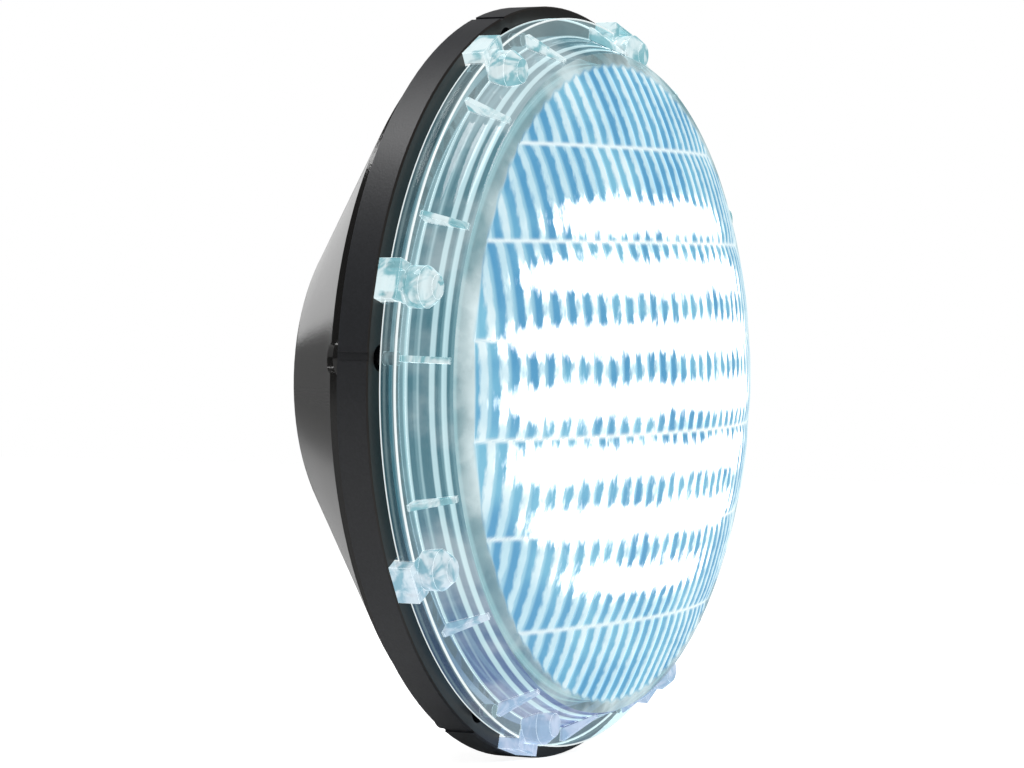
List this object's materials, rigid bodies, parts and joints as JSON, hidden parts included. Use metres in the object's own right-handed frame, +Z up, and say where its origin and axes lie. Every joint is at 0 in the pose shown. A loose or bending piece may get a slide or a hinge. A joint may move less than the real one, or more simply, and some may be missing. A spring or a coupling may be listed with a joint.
{
  "type": "underwater pool light",
  "caption": "Round sealed LED lamp for an underwater wall niche, with a clear prismatic lens, a black conical housing and rear screw terminals.",
  "frame": {"origin": "centre of the rim's rear face, which seats in the niche", "axes": "+Y along the lamp's axis towards the terminals at the rear, the lens looks along -Y, +Z up, the two terminals lie along X"},
  "size_m": [0.1778, 0.093, 0.1778],
  "materials": {
    "rear_housing": "glossy moulded black bowl with a satin rim",
    "front_cover": "clear moulded polycarbonate with a faint blue-green tint",
    "cover_gasket": "soft black silicone",
    "cover_screws": "dark stainless steel",
    "heat_spreader": "plain sheet aluminium",
    "spreader_screws": "stainless steel",
    "thermal_pad": "soft grey silicone pad",
    "led_board": "white solder mask",
    "led_emitters": "yellow phosphor in a white package",
    "led_domes": "clear silicone lens",
    "led_reflector": "white moulded tray",
    "led_leads": "insulated wire",
    "driver_board": "green circuit board",
    "driver_standoffs": "plain turned brass",
    "driver_screws": "stainless steel",
    "driver_capacitors": "sleeved capacitor cans",
    "driver_inductor": "copper-wound core",
    "bridge_rectifier": "black epoxy",
    "driver_chip": "black epoxy",
    "terminal_block": "moulded black plastic",
    "terminal_block_screws": "stainless steel",
    "terminal_bushes": "plain turned brass",
    "terminal_seals": "black rubber O-rings",
    "terminal_leads": "insulated wire",
    "terminal_washer_a": "stainless steel",
    "terminal_screw_a": "stainless steel",
    "terminal_washer_b": "stainless steel",
    "terminal_screw_b": "stainless steel"
  },
  "bodies": {
    "lamp": {"rear_housing": "rear_housing", "front_cover": "front_cover", "cover_gasket": "cover_gasket", "cover_screws": "cover_screws", "heat_spreader": "heat_spreader", "spreader_screws": "spreader_screws", "thermal_pad": "thermal_pad", "led_board": "led_board", "led_emitters": "led_emitters", "led_domes": "led_domes", "led_reflector": "led_reflector", "led_leads": "led_leads", "driver_board": "driver_board", "driver_standoffs": "driver_standoffs", "driver_screws": "driver_screws", "driver_capacitors": "driver_capacitors", "driver_inductor": "driver_inductor", "bridge_rectifier": "bridge_rectifier", "driver_chip": "driver_chip", "terminal_block": "terminal_block", "terminal_block_screws": "terminal_block_screws", "terminal_bushes": "terminal_bushes", "terminal_seals": "terminal_seals", "terminal_leads": "terminal_leads"},
    "terminal_washer_a": {"terminal_washer_a": "terminal_washer_a"},
    "terminal_screw_a": {"terminal_screw_a": "terminal_screw_a"},
    "terminal_washer_b": {"terminal_washer_b": "terminal_washer_b"},
    "terminal_screw_b": {"terminal_screw_b": "terminal_screw_b"}
  },
  "joints": [
    {"name": "terminal_a_slide", "type": "slide", "parent": "lamp", "child": "terminal_washer_a", "axis": [0, 1, 0], "range_m": [0, 0.0035]},
    {"name": "terminal_a_turn", "type": "hinge", "parent": "terminal_washer_a", "child": "terminal_screw_a", "pos_m": [-0.011, 0.048, 0], "axis": [0, 1, 0], "range_deg": [0, 1800]},
    {"name": "terminal_b_slide", "type": "slide", "parent": "lamp", "child": "terminal_washer_b", "axis": [0, 1, 0], "range_m": [0, 0.0035]},
    {"name": "terminal_b_turn", "type": "hinge", "parent": "terminal_washer_b", "child": "terminal_screw_b", "pos_m": [0.011, 0.048, 0], "axis": [0, 1, 0], "range_deg": [0, 1800]}
  ],
  "couplings": [
    {"joint": "terminal_a_turn", "follows": "terminal_a_slide", "rad_per_m": 8976},
    {"joint": "terminal_b_turn", "follows": "terminal_b_slide", "rad_per_m": 8976}
  ]
}
